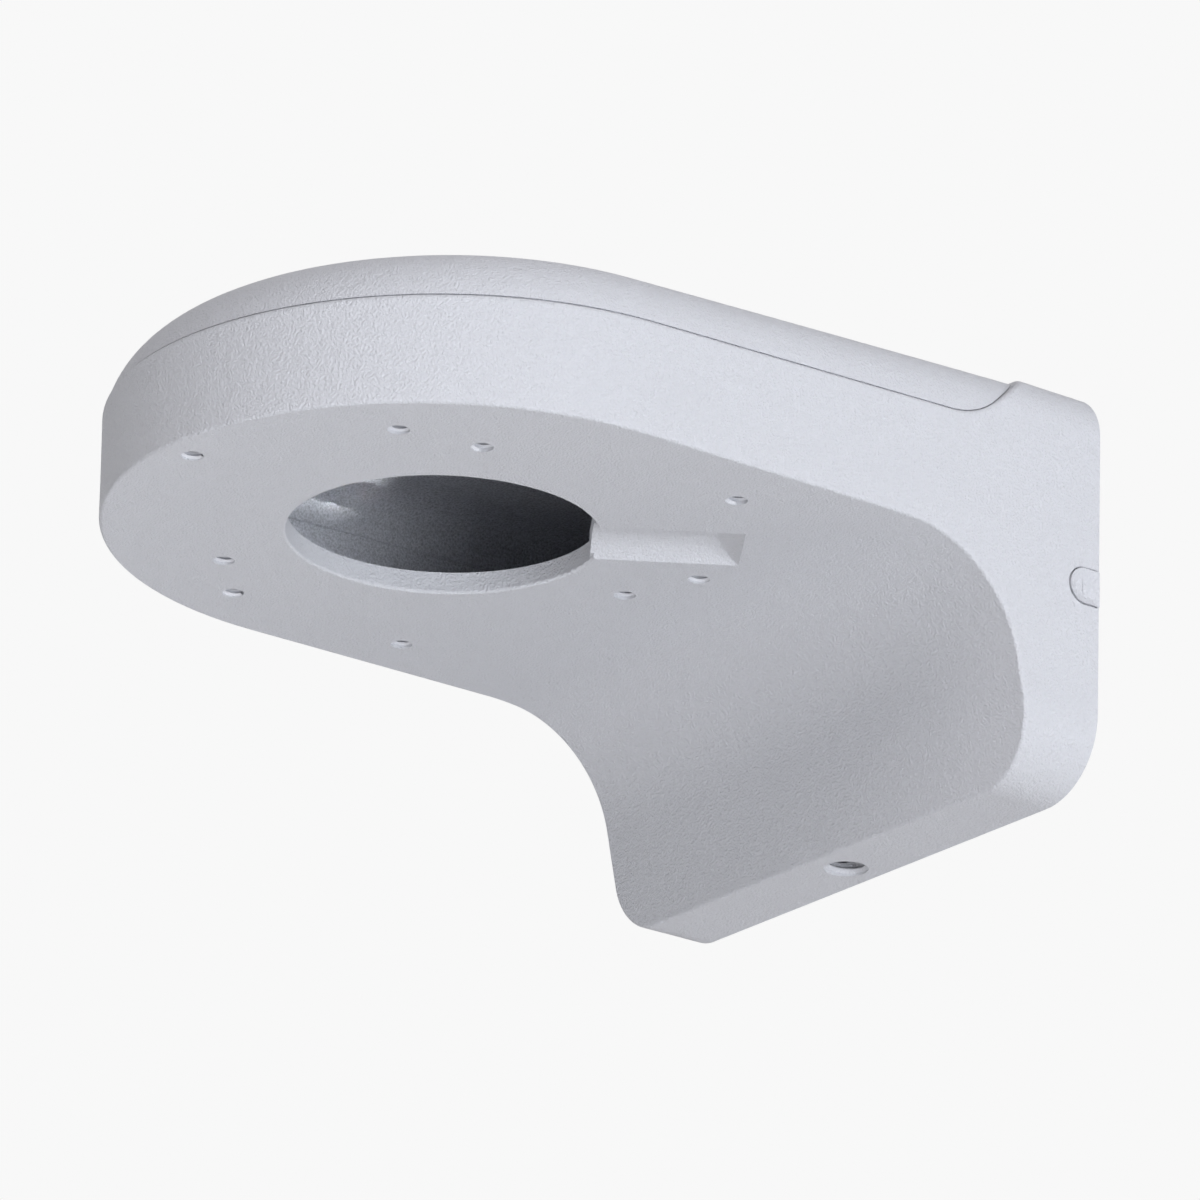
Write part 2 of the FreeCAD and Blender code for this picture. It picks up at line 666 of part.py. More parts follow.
sketch = new_sketch(core, "nose_web", "XY_Plane")
place_at(sketch, z=f"-({FLOOR})")
rectangle(sketch, "-web / 2", "-nose_centre - half_width", "web / 2", "-screw_nose")
extrude(core, "Pocket", "nose_web_pocket", sketch, f"{FLOOR} + {NOSE_JOINT} - web_set_down", flip=True)


def around_nose(sketch, z):
    """Shift a sketch so that its origin is on the axis of the nose, at height z."""
    place_at(sketch, y="-nose_centre", z=z)


def along_slot(sketch, upright, rise="0"):
    """Turn a sketch on the axis of the nose to the slot's direction.

    Args:
        sketch: sketch on one of the origin planes.
        upright: the vertical axis in the sketch's own frame, Y for an upright plane and Z for a level one.
        rise: formula of the height of the sketch's origin.
    """
    axis = FreeCAD.Vector(0, 1, 0) if upright == "Y" else FreeCAD.Vector(0, 0, 1)
    turn = FreeCAD.Rotation(axis, value("slot_angle"))
    sketch.AttachmentOffset = FreeCAD.Placement(FreeCAD.Vector(0, 0, 0), turn)
    bind(sketch, ".AttachmentOffset.Rotation.Angle", "slot_angle")
    plane = sketch.AttachmentSupport[0][0].Role
    if plane == "XY_Plane":
        place_at(sketch, y="-nose_centre", z=rise)
    elif plane == "YZ_Plane":
        place_at(sketch, x="-nose_centre", y=rise)
    else:
        place_at(sketch, y=rise, z="nose_centre")


def repeat_round(owner, name, feature, sketch):
    """Repeat a feature round the axis of the nose."""
    pattern = owner.newObject("PartDesign::PolarPattern", name)
    pattern.Originals = [feature]
    pattern.Axis = (sketch, ["N_Axis"])
    pattern.Angle = 360
    pattern.Occurrences = HOLE_COUNT
    owner.Tip = pattern
    doc.recompute()
    return pattern


CIRCLES = (("outer", "outer_circle", "outer_angle"), ("middle", "middle_circle", "middle_angle"),
           ("inner", "inner_circle", "inner_angle"))

for name, radius, angle in CIRCLES:
    place = (f"{radius} * cos({angle})", f"{radius} * sin({angle})")
    sketch = new_sketch(core, f"{name}_thread_boss", "XY_Plane")
    around_nose(sketch, "-spare")
    circles(sketch, (place,), "thread_boss")
    pocket = extrude(core, "Pocket", f"{name}_thread_boss_pocket", sketch, "spare + plate + thread_rise", flip=True)
    repeat_round(core, f"{name}_thread_bosses", pocket, sketch)

sketch = new_sketch(core, "slot_pad", "XY_Plane")
along_slot(sketch, "Z", "-spare")
rectangle(sketch, "0", "-slot_width / 2 - slot_side", "slot_reach + slot_side", "slot_width / 2 + slot_side")
extrude(core, "Pocket", "slot_pad_pocket", sketch, "spare + plate + slot_pad", flip=True)

WALL_SCREWS = tuple((x, z) for x in ("wall_hole_x", "-wall_hole_x")
                    for z in ("wall_hole_low", "wall_hole_low + wall_hole_rise"))
sketch = new_sketch(core, "wall_pads", "XZ_Plane")
circles(sketch, WALL_SCREWS, "wall_pad")
extrude(core, "Pocket", "wall_pad_pockets", sketch, "back_wall + wall_pad_rise", "spare", flip=True)

# The tongue that centres the cover
tongue = new_body("tongue")
sketch = new_sketch(tongue, "tongue_outline", "XY_Plane")
lay_on_seam(sketch)
planform(sketch, "half_width - tongue_inset", "0", "nose_centre - tongue_end")
extrude(tongue, "Pad", "tongue_block", sketch, "tongue_height", "tongue_root")
sketch = new_sketch(tongue, "tongue_inside", "XY_Plane")
lay_on_seam(sketch)
planform(sketch, "half_width - wall - overlap", "0", "nose_centre")
extrude(tongue, "Pocket", "tongue_opening", sketch, "spare", "spare")

doc.recompute()
for name, kind, tool in (("tongue_joined", "Fuse", tongue), ("hollow", "Cut", core)):
    step = body.newObject("PartDesign::Boolean", name)
    step.setObjects([tool])
    step.Type = kind
    body.Tip = step
    doc.recompute()

# Holes, slot and recess of the body
sketch = new_sketch(body, "camera_cable_circle", "XY_Plane")
around_nose(sketch, "-spare")
circles(sketch, (("0", "0"),), "cable_hole")
extrude(body, "Pocket", "camera_cable_hole", sketch, "2 * spare + plate", flip=True)


def is_cable_rim(edge):
    """Pick the round edge of the camera cable hole on the underside."""
    points = samples(edge)
    centre = FreeCAD.Vector(0, -value("nose_centre"), 0)
    return all(abs(p.distanceToPoint(centre) - value("cable_hole")) < NEAR for p in points)


round_edges(body, "cable_rim", "cable_hole_round", is_cable_rim)

sketch = new_sketch(body, "slot_lip_outline", "XY_Plane")
along_slot(sketch, "Z", "slot_lip_base")
rectangle(sketch, "slot_lip", "-slot_width / 2 - slot_side", "cable_hole + overlap", "slot_width / 2 + slot_side")
extrude(body, "Pad", "slot_lip_block", sketch, "plate + slot_pad - slot_lip_base")

# The cable slot: a round channel with a sloped end
slot = new_body("slot_core")
sketch = new_sketch(slot, "slot_round", "YZ_Plane")
along_slot(sketch, "Y", "slot_depth - (slot_width ^ 2 / 4 + slot_depth ^ 2) / (2 * slot_depth)")
circles(sketch, (("0", "0"),), "(slot_width ^ 2 / 4 + slot_depth ^ 2) / (2 * slot_depth)")
extrude(slot, "Pad", "slot_channel", sketch, "slot_reach + overlap")
sketch = new_sketch(slot, "slot_end_line", "XZ_Plane")
along_slot(sketch, "Y")
outline = Outline(sketch)
reach, run, deep = value("slot_reach"), value("slot_run"), value("slot_depth")
slope_line = outline.line((reach + run, -deep), (reach - 2 * run, 2 * deep))
outline.line((reach - 2 * run, 2 * deep), (reach + run, 2 * deep))
outline.line((reach + run, 2 * deep), (reach + run, -deep))
outline.close()
rule(sketch, "Horizontal", slope_line + 1)
rule(sketch, "Vertical", slope_line + 2)
dimension(sketch, "low_x", "DistanceX", "slot_reach + slot_run", *ORIGIN, slope_line, 1)
dimension(sketch, "low_z", "DistanceY", "-slot_depth", *ORIGIN, slope_line, 1)
dimension(sketch, "high_x", "DistanceX", "slot_reach - 2 * slot_run", *ORIGIN, slope_line, 2)
dimension(sketch, "high_z", "DistanceY", "2 * slot_depth", *ORIGIN, slope_line, 2)
cut_through(slot, "slot_end", sketch)
step = body.newObject("PartDesign::Boolean", "slot")
step.setObjects([slot])
step.Type = "Cut"
body.Tip = step
doc.recompute()

for name, radius, angle in CIRCLES:
    place = (f"{radius} * cos({angle})", f"{radius} * sin({angle})")
    sketch = new_sketch(body, f"{name}_thread", "XY_Plane")
    around_nose(sketch, "-spare")
    circles(sketch, (place,), "thread_radius")
    pocket = extrude(body, "Pocket", f"{name}_thread_hole", sketch, "2 * spare + plate + thread_rise", flip=True)
    repeat_round(body, f"{name}_thread_holes", pocket, sketch)

for name, places, joint in (("back", BACK_SCREWS, BACK_JOINT), ("nose", NOSE_SCREW, NOSE_JOINT)):
    sketch = new_sketch(body, f"{name}_tap", "XY_Plane")
    place_at(sketch, z=joint)
    circles(sketch, places, "screw_radius")
    extrude(body, "Pocket", f"{name}_tap_holes", sketch, "tap_depth", "spare")

sketch = new_sketch(body, "wall_screws", "XZ_Plane")
circles(sketch, WALL_SCREWS, "wall_hole")
extrude(body, "Pocket", "wall_screw_holes", sketch, "spare", "spare")

sketch = new_sketch(body, "wall_cable", "XZ_Plane")
circles(sketch, (("0", "wall_cable_height"),), "wall_cable_hole")
extrude(body, "Pocket", "wall_cable_outlet", sketch, "spare", "spare")

sketch = new_sketch(body, "side_entry", "XY_Plane")
place_at(sketch, z="-flange_drop")
circles(sketch, (("side_hole_x", "-side_hole_depth"),), "side_hole")
extrude(body, "Pocket", "side_entry_hole", sketch, "bottom_wall + overlap", "spare", flip=True)

# Knock-out recess on the right flank, closed at the wall plane by a thin web
sketch = new_sketch(body, "recess_outline", "YZ_Plane")
place_at(sketch, z="half_width + recess_height * tan(draft) - recess_depth")
radius, level = value("recess_radius"), value("recess_height")
lip, tip = -value("recess_lip"), -value("recess_end")
outline = Outline(sketch)
top = outline.line((lip, level + radius), (tip + radius, level + radius))
end = outline.arc((tip + radius, level), radius, RIGHT_ANGLE, 3 * RIGHT_ANGLE, smooth=True)
low = outline.line((tip + radius, level - radius), (lip, level - radius), smooth=True)
web = outline.line((lip, level - radius), (lip, level + radius))
outline.close()
rule(sketch, "Horizontal", top)
rule(sketch, "Horizontal", low)
rule(sketch, "Vertical", web)
dimension(sketch, "radius", "Radius", "recess_radius", end)
dimension(sketch, "centre_y", "DistanceX", "recess_radius - recess_end", *ORIGIN, end, 3)
dimension(sketch, "centre_z", "DistanceY", "recess_height", *ORIGIN, end, 3)
dimension(sketch, "web", "DistanceX", "-recess_lip", *ORIGIN, web, 1)
extrude(body, "Pocket", "knock_out_recess", sketch, "recess_depth + spare", flip=True)

# The cover: a tapered block on the seam plane, its top edge rounded more and more towards the nose
COVER_SIDE = "half_width + seam_height * tan(draft) - cover_inset"


def cover_block(name, inset, lower):
    """Return a body for the cover's outer or inner form.

    Args:
        name: name of the body.
        inset: formula of the distance inside the cover's outer side.
        lower: formula of the distance below the cover's top plane.
    """
    block = new_body(name)
    sketch = new_sketch(block, f"{name}_outline", "XY_Plane")
    lay_on_seam(sketch)
    bind(sketch, ".AttachmentOffset.Base.z", "seam_height - cover_skirt * cos(seam_slope)")
    bind(sketch, ".AttachmentOffset.Base.y", "-nose_centre + cover_skirt * sin(seam_slope)")
    planform(sketch, f"{COVER_SIDE} + cover_skirt * tan(cover_lean) - {inset}", "0", "nose_centre")
    extrude(block, "Pad", f"{name}_block", sketch, f"cover_skirt + cover_height - {lower}", lean_up="-cover_lean")
    return block


def past_axis(point):
    """Return how far a point is past the axis of the nose, along the seam plane."""
    tilt = math.radians(value("seam_slope"))
    return -(point.y + value("nose_centre")) * math.cos(tilt) - (point.z - value("seam_height")) * math.sin(tilt)


def round_top(name, base, less):
    """Round the top edge of a cover block, with a radius that grows towards the nose, made less all over."""
    doc.recompute()
    tilt = math.radians(value("seam_slope"))
    up = FreeCAD.Vector(0, -math.sin(tilt), math.cos(tilt))
    level = max(vertex.Point.dot(up) for vertex in base.Shape.Vertexes)
    tip = max(past_axis(vertex.Point) for vertex in base.Shape.Vertexes if abs(vertex.Point.dot(up) - level) < NEAR)

    def travel(point):
        """Return the way to a point of the top edge, from the right end round the nose to the left one."""
        past = past_axis(point)
        return past if point.x > 0 else 2 * tip - past

    edges, onward = [], None
    for number, edge in enumerate(base.Shape.Edges, start=1):
        points = samples(edge)
        if any(abs(p.dot(up) - level) > NEAR for p in points) or min(p.y for p in points) > -value("step_depth"):
            continue
        if onward is None:
            onward = travel(points[0]) < travel(points[-1])
        ends = sorted((points[0], points[-1]), key=travel, reverse=not onward)
        edges.append((number, *(radius_at(past_axis(point), tip) - less for point in ends)))
    feature = doc.addObject("Part::Fillet", name)
    feature.Base = base
    feature.Edges = edges
    doc.recompute()
    return feature


def radius_at(past, tip):
    """Return the cover's edge rounding at a distance past the axis of the nose, which ends at tip."""
    end, side, nose = value("cover_round_end"), value("cover_round_side"), value("cover_round_nose")
    if past > NEAR:
        return side + (nose - side) * past / tip
    return side + (side - end) * past / value("nose_centre")


def combine(kind, name, base, tool):
    """Return a cut or a fusion of two objects."""
    doc.recompute()
    feature = doc.addObject(kind, name)
    feature.Base, feature.Tool = base, tool
    doc.recompute()
    return feature


def cylinder(name, radius, height, x, y, z):
    """Return an upright cylinder placed by formulas."""
    item = doc.addObject("Part::Cylinder", name)
    bind(item, "Radius", radius)
    bind(item, "Height", height)
    for axis, formula in (("x", x), ("y", y), ("z", z)):
        bind(item, f".Placement.Base.{axis}", formula)
    return item


outer = cover_block("cover_outer", "0", "0")
inner = cover_block("cover_inner", "cover_wall / cos(cover_lean)", "cover_wall")
shell = combine("Part::Cut", "cover_shell", round_top("cover_round", outer, 0),
                round_top("cover_inner_round", inner, value("cover_wall")))

trim = new_body("cover_trim")
sketch = new_sketch(trim, "below_seam", "YZ_Plane")
seam_line(sketch, above=False, raise_by="seam_gap / cos(seam_slope)", gap="step_gap")
doc.recompute()
pad = trim.newObject("PartDesign::Pad", "below_seam_block")
pad.Profile = sketch
pad.SideType = "Symmetric"
bind(pad, "Length", "4 * half_width")
shell = combine("Part::Cut", "cover_trimmed", shell, trim)

rebate = new_body("rebate")
sketch = new_sketch(rebate, "rebate_outline", "XY_Plane")
lay_on_seam(sketch)
planform(sketch, "half_width - tongue_inset + tongue_play", "0", "nose_centre - tongue_end + tongue_play")
extrude(rebate, "Pad", "rebate_block", sketch, "tongue_height", "spare")
shell = combine("Part::Cut", "cover_rebated", shell, rebate)

# Each screw has a place: its x, its distance from the wall and the height where the bosses meet
SCREWS = (
    ("right", "screw_x", "screw_back", BACK_JOINT),
    ("left", "-screw_x", "screw_back", BACK_JOINT),
    ("nose", "0", "screw_nose", NOSE_JOINT),
)


def top_level(depth):
    """Return the formula of the cover's top height at a distance from the wall."""
    return f"seam_height + (nose_centre - {depth}) * tan(seam_slope) + cover_height / cos(seam_slope)"


for side, x, depth, joint in SCREWS:
    boss = cylinder(f"boss_{side}", "cover_boss_radius", f"{top_level(depth)} - cover_wall / 2 - ({joint})",
                    x, f"-{depth}", joint)
    shell = combine("Part::Fuse", f"cover_with_boss_{side}", shell, boss)
for side, x, depth, joint in SCREWS:
    seat = f"{top_level(depth)} - head_sink"
    hole = cylinder(f"hole_{side}", "screw_hole", "flange_top", x, f"-{depth}", "seam_height - spare")
    sink = cylinder(f"sink_{side}", "head_radius + head_play", "spare", x, f"-{depth}", seat)
    shell = combine("Part::Cut", f"cover_with_hole_{side}", shell, hole)
    shell = combine("Part::Cut", f"cover_with_sink_{side}", shell, sink)
shell.Label = "top_cover"

screws = []
for side, x, depth, joint in SCREWS:
    seat = f"{top_level(depth)} - head_sink"
    shank = cylinder(f"shank_{side}", "screw_radius", "screw_length + head_height / 2", x, f"-{depth}",
                     f"{seat} - screw_length")
    head = cylinder(f"head_{side}", "head_radius", "head_height", x, f"-{depth}", seat)
    screw = combine("Part::Fuse", f"screw_{side}", head, shank)
    socket = doc.addObject("Part::Prism", f"socket_{side}")
    socket.Polygon = 6
    bind(socket, "Circumradius", "socket_radius")
    bind(socket, "Height", "socket_depth + spare")
    for axis, formula in (("x", x), ("y", f"-{depth}"), ("z", f"{seat} + head_height - socket_depth")):
        bind(socket, f".Placement.Base.{axis}", formula)
    screws.append(combine("Part::Cut", f"screw_{side}_finished", screw, socket))
group = doc.addObject("Part::Compound", "cover_screws")
group.Links = screws
group.Label = "cover_screws"
doc.recompute()

NODES = {"bracket_body": body, "top_cover": shell, "cover_screws": group}
problems = [
    f"{item.Name}: {item.State}" for item in doc.Objects
    if "Invalid" in item.State or "Error" in item.State
]
problems += [
    f"{name}: empty or invalid shape" for name, item in NODES.items()
    if item.Shape.isNull() or not item.Shape.isValid() or not item.Shape.Solids
]
if problems:
    raise RuntimeError("; ".join(problems))

os.makedirs("parts", exist_ok=True)
for name, item in NODES.items():
    item.Shape.exportStep(f"parts/{name}.step")
    box = item.Shape.optimalBoundingBox()
    print(name, len(item.Shape.Solids), round(item.Shape.Volume), [round(v, 2) for v in (
        box.XMin, box.XMax, box.YMin, box.YMax, box.ZMin, box.ZMax)])
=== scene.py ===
"""Looks of the camera wall bracket: powder-coated castings, tapped holes and cover screws.

The frame is X right when looking at the wall, -Y out of the wall and Z up, in metres.
"""
import logging
import math
from dataclasses import dataclass, field
from enum import Enum

import bmesh
import bpy
from mathutils import Matrix, Vector


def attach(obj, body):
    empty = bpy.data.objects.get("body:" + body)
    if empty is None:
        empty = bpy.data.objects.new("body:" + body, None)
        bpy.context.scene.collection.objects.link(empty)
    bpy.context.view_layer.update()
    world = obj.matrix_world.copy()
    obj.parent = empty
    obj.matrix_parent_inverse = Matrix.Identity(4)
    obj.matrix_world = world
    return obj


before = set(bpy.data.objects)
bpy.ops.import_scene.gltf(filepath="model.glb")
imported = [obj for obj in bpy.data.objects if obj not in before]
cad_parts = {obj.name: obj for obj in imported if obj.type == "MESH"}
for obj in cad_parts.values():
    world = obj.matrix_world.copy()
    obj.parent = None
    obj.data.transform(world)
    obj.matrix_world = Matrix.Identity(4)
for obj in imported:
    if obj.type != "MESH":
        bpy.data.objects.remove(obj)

logging.basicConfig(level=logging.INFO, format="%(name)s: %(message)s")
log = logging.getLogger("bracket")

MM = 0.001
SAME_PLACE = 0.001 * MM
NOSE_CENTRE = -99.8 * MM
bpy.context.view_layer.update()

Color = tuple[float, float, float]
Place = tuple[float, float, float]


class Thread(Enum):
    """Thread sizes on the bracket: outer radius, inner radius and pitch in millimetres."""

    CAMERA = (2.0, 1.54, 0.7)
    SIDE_ENTRY = (4.1, 3.45, 1.25)


def srgb(red: int, green: int, blue: int) -> Color:
    """Turn a display colour of 0 to 255 into the linear values that shaders take.

    Args:
        red: red as displayed.
        green: green as displayed.
        blue: blue as displayed.

    Returns:
        The three linear values.
    """
    def linear(value: int) -> float:
        share = value / 255
        return share / 12.92 if share <= 0.04045 else ((share + 0.055) / 1.055) ** 2.4

    return linear(red), linear(green), linear(blue)


def joined(tree: bpy.types.NodeTree, operation: str, first: bpy.types.NodeSocket,
           second: bpy.types.NodeSocket) -> bpy.types.NodeSocket:
    """Join two values by a math node.

    Args:
        tree: the tree that gets the node.
        operation: what the node does with them.
        first: the socket of the first value.
        second: the socket of the second value.

    Returns:
        The socket that carries the result.
    """
    node = tree.nodes.new("ShaderNodeMath")
    node.operation = operation
    tree.links.new(first, node.inputs[0])
    tree.links.new(second, node.inputs[1])
    return node.outputs[0]


class GrainGroup:
    """Shader node group for a coat's grain: fine orange peel over broad, soft waves."""

    NAME = "coat_grain"
    NUMBERS = ("Grain Scale", "Wave Scale", "Grain", "Wave", "Tone")
    FINE_DETAIL = 3.0
    BROAD_DETAIL = 2.0
    DARKEST_AT, LIGHTEST_AT = 0.3, 0.7

    @classmethod
    def tree(cls) -> bpy.types.NodeTree:
        """Return the group, built at its first use."""
        return bpy.data.node_groups.get(cls.NAME) or cls._build()

    @classmethod
    def _build(cls) -> bpy.types.NodeTree:
        """Build the group.

        Returns:
            The node tree with its inputs and outputs.
        """
        tree = bpy.data.node_groups.new(cls.NAME, "ShaderNodeTree")
        for name in cls.NUMBERS:
            tree.interface.new_socket(name, in_out="INPUT", socket_type="NodeSocketFloat")
        tree.interface.new_socket("Color", in_out="INPUT", socket_type="NodeSocketColor")
        tree.interface.new_socket("Color", in_out="OUTPUT", socket_type="NodeSocketColor")
        tree.interface.new_socket("Height", in_out="OUTPUT", socket_type="NodeSocketFloat")
        entry, leave = tree.nodes.new("NodeGroupInput"), tree.nodes.new("NodeGroupOutput")
        fine = cls._noise(tree, entry.outputs["Grain Scale"], cls.FINE_DETAIL)
        broad = cls._noise(tree, entry.outputs["Wave Scale"], cls.BROAD_DETAIL)
        grain = joined(tree, "MULTIPLY", fine, entry.outputs["Grain"])
        wave = joined(tree, "MULTIPLY", broad, entry.outputs["Wave"])
        tree.links.new(joined(tree, "ADD", grain, wave), leave.inputs["Height"])
        tree.links.new(cls._toned(tree, fine, entry), leave.inputs["Color"])
        return tree

    @staticmethod
    def _noise(tree: bpy.types.NodeTree, scale: bpy.types.NodeSocket, detail: float) -> bpy.types.NodeSocket:
        """Add a noise in object coordinates.

        Args:
            tree: the group's tree.
            scale: the socket that gives its scale.
            detail: its levels of detail.

        Returns:
            The socket that carries the noise.
        """
        place = tree.nodes.new("ShaderNodeTexCoord")
        noise = tree.nodes.new("ShaderNodeTexNoise")
        noise.inputs["Detail"].default_value = detail
        tree.links.new(place.outputs["Object"], noise.inputs["Vector"])
        tree.links.new(scale, noise.inputs["Scale"])
        return noise.outputs["Fac"]

    @classmethod
    def _toned(cls, tree: bpy.types.NodeTree, noise: bpy.types.NodeSocket,
               entry: bpy.types.Node) -> bpy.types.NodeSocket:
        """Darken the colour where the noise is low, at most by the tone.

        Args:
            tree: the group's tree.
            noise: the socket that carries the noise.
            entry: the group's input node.

        Returns:
            The socket that carries the toned colour.
        """
        darkest = tree.nodes.new("ShaderNodeMath")
        darkest.operation = "SUBTRACT"
        darkest.inputs[0].default_value = 1.0
        tree.links.new(entry.outputs["Tone"], darkest.inputs[1])
        tone = tree.nodes.new("ShaderNodeMapRange")
        tone.inputs["From Min"].default_value = cls.DARKEST_AT
        tone.inputs["From Max"].default_value = cls.LIGHTEST_AT
        tree.links.new(noise, tone.inputs["Value"])
        tree.links.new(darkest.outputs[0], tone.inputs["To Min"])
        tint = tree.nodes.new("ShaderNodeVectorMath")
        tint.operation = "SCALE"
        tree.links.new(entry.outputs["Color"], tint.inputs[0])
        tree.links.new(tone.outputs["Result"], tint.inputs["Scale"])
        return tint.outputs["Vector"]


@dataclass(frozen=True)
class CastFinish:
    """Finish of a casting: a coat with a grain.

    The grain and the wave are shares of the bump's distance, and the tone is the most that the grain
    darkens the colour by.
    """

    name: str
    color: Color
    roughness: float
    metallic: float = 0.0
    grain_scale: float = 2200.0
    wave_scale: float = 420.0
    grain: float = 1.0
    wave: float = 0.5
    tone: float = 0.04
    specular: float = 0.38
    bump_distance: float = 0.0004
    bump_strength: float = 1.0

    def material(self) -> bpy.types.Material:
        """Return the material, built at its first use."""
        return bpy.data.materials.get(self.name) or self._build()

    def _build(self) -> bpy.types.Material:
        """Build the material.

        Returns:
            The material with the grain in its colour and its normals.
        """
        material = bpy.data.materials.new(self.name)
        material.use_nodes = True
        nodes, links = material.node_tree.nodes, material.node_tree.links
        shader = nodes["Principled BSDF"]
        shader.inputs["Roughness"].default_value = self.roughness
        shader.inputs["Metallic"].default_value = self.metallic
        shader.inputs["Specular IOR Level"].default_value = self.specular
        group = nodes.new("ShaderNodeGroup")
        group.node_tree = GrainGroup.tree()
        numbers = (self.grain_scale, self.wave_scale, self.grain, self.wave, self.tone)
        for name, number in zip(GrainGroup.NUMBERS, numbers):
            group.inputs[name].default_value = number
        group.inputs["Color"].default_value = (*self.color, 1.0)
        bump = nodes.new("ShaderNodeBump")
        bump.inputs["Strength"].default_value = self.bump_strength
        bump.inputs["Distance"].default_value = self.bump_distance
        links.new(group.outputs["Height"], bump.inputs["Height"])
        links.new(group.outputs["Color"], shader.inputs["Base Color"])
        links.new(bump.outputs["Normal"], shader.inputs["Normal"])
        return material


POWDER_COAT = CastFinish("powder_coat", srgb(214, 215, 220), roughness=0.55)
# Inner finish: a rough, sandy skin with a strong random tone; its colour is painted lighter than the outer
# coat, as painted light in the shaded hollow.
INNER_CAST_PAINTED_LIGHT = CastFinish("inner_cast_skin_painted_light", srgb(226, 228, 234), roughness=0.9, grain_scale=2400.0, grain=0.9,
                        tone=0.45)
SCREW_STEEL = CastFinish("screw_steel", srgb(200, 200, 202), roughness=0.3, metallic=1.0, grain=0.2, wave=0.1,
                         tone=0.02)
THREAD_COAT = CastFinish("thread_coat", srgb(220, 221, 226), roughness=0.45, grain=0.2, wave=0.1, tone=0.02)


def piece(name: str, mesh: bmesh.types.BMesh, finish: CastFinish) -> bpy.types.Object:
    """Make an object of the bracket from a finished bmesh.

    Args:
        name: name of the piece.
        mesh: the shape, placed in the frame; it is freed here.
        finish: the finish it gets.

    Returns:
        The object, riding with the bracket.
    """
    data = bpy.data.meshes.new(name)
    mesh.to_mesh(data)
    mesh.free()
    item = bpy.data.objects.new(name, data)
    bpy.context.scene.collection.objects.link(item)
    data.materials.append(finish.material())
    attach(item, "root")
    log.info("%s: %d faces", name, len(data.polygons))
    return item


@dataclass
class Castings:
    """The CAD nodes as they are, dressed in their finishes.

    The castings have a second finish for the faces of their hollow: a rough, sandy skin whose colour is
    painted lighter than the outer coat, as painted light in the shaded hollow. A face belongs to it where it
    is farther in than the outer wall and the back wall, over the plate and under the roof, and doesn't look
    outwards.
    """

    body: str = "bracket_body"
    cover: str = "top_cover"
    screws: str = "cover_screws"
    half_width: float = 60.8 * MM
    outer_wall: float = 2.6 * MM
    back_wall: float = 2.9 * MM
    plate: float = 3.92 * MM
    roof: float = 32.0 * MM
    most_outward: float = 0.3
    level: float = 0.999
    facing_down: float = -0.5

    def dress(self) -> None:
        """Give every CAD node its finish."""
        finishes = (
            (self.body, POWDER_COAT, "body_coat"),
            (self.cover, POWDER_COAT, "cover_coat"),
            (self.screws, SCREW_STEEL, "screw_steel"),
        )
        for name, finish, slot in finishes:
            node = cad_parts[name]
            node.data.materials.clear()
            node.data.materials.append(finish.material())
            log.info("%s: %d faces", name, len(node.data.polygons))
        for name in (self.body, self.cover):
            self._line_hollow(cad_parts[name])

    def _line_hollow(self, node: bpy.types.Object) -> None:
        """Give the faces inside the hollow the rough inner finish, whose colour is painted lighter than the
        outer coat as painted light in the shaded hollow.

        Args:
            node: a casting.
        """
        node.data.materials.append(INNER_CAST_PAINTED_LIGHT.material())
        inner = len(node.data.materials) - 1
        for face in node.data.polygons:
            if self._is_inside(face.center, face.normal):
                face.material_index = inner

    def _is_inside(self, place: Vector, normal: Vector) -> bool:
        """Tell whether a face belongs to the hollow.

        Args:
            place: centre of the face.
            normal: its outward normal.

        Returns:
            True for a face of the hollow.
        """
        away = Vector((place.x, min(place.y - NOSE_CENTRE, 0.0), 0.0))
        inset = self.half_width - away.length > self.outer_wall and place.y < -self.back_wall
        facing_in = normal.dot(away.normalized()) < self.most_outward
        under_roof = place.z < self.roof or normal.z < self.facing_down
        over_plate = place.z > self.plate and normal.z < self.level
        return inset and facing_in and under_roof and over_plate


@dataclass
class ThreadTurns:
    """A cut thread shown as a ridge wound up the wall of a tapped hole.

    The crest lies between two shares of the pitch.
    """

    thread: Thread
    length: float
    steps: int = 28
    crest: tuple[float, float] = (0.42, 0.58)

    def ridge(self, centre: Vector, bottom: float, phase: float = 0.0) -> bmesh.types.BMesh:
        """Wind the ridge by a screw spin.

        Args:
            centre: a point on the hole's axis.
            bottom: height of the thread's first turn.
            phase: turn of the thread's start, in radians.

        Returns:
            The bmesh of the ridge.
        """
        outer, inner, pitch = (size * MM for size in self.thread.value)
        crest_from, crest_to = self.crest
        mesh = bmesh.new()
        start = Vector((centre.x, centre.y, bottom))
        profile = [(outer, 0.0), (inner, crest_from * pitch), (inner, crest_to * pitch), (outer, pitch)]
        points = [mesh.verts.new(start + Vector((r, 0.0, z))) for r, z in profile]
        edges = [mesh.edges.new(pair) for pair in zip(points, points[1:])]
        turns = self.length / pitch - 1
        count = max(int(self.steps * turns), 1)
        bmesh.ops.spin(
            mesh, geom=points + edges, cent=start, axis=(0, 0, 1), dvec=(0, 0, pitch / self.steps),
            angle=2 * math.pi * count / self.steps, steps=count, use_duplicate=False,
        )
        bmesh.ops.rotate(mesh, verts=mesh.verts, cent=start, matrix=Matrix.Rotation(phase, 3, "Z"))
        bmesh.ops.recalc_face_normals(mesh, faces=mesh.faces)
        return mesh


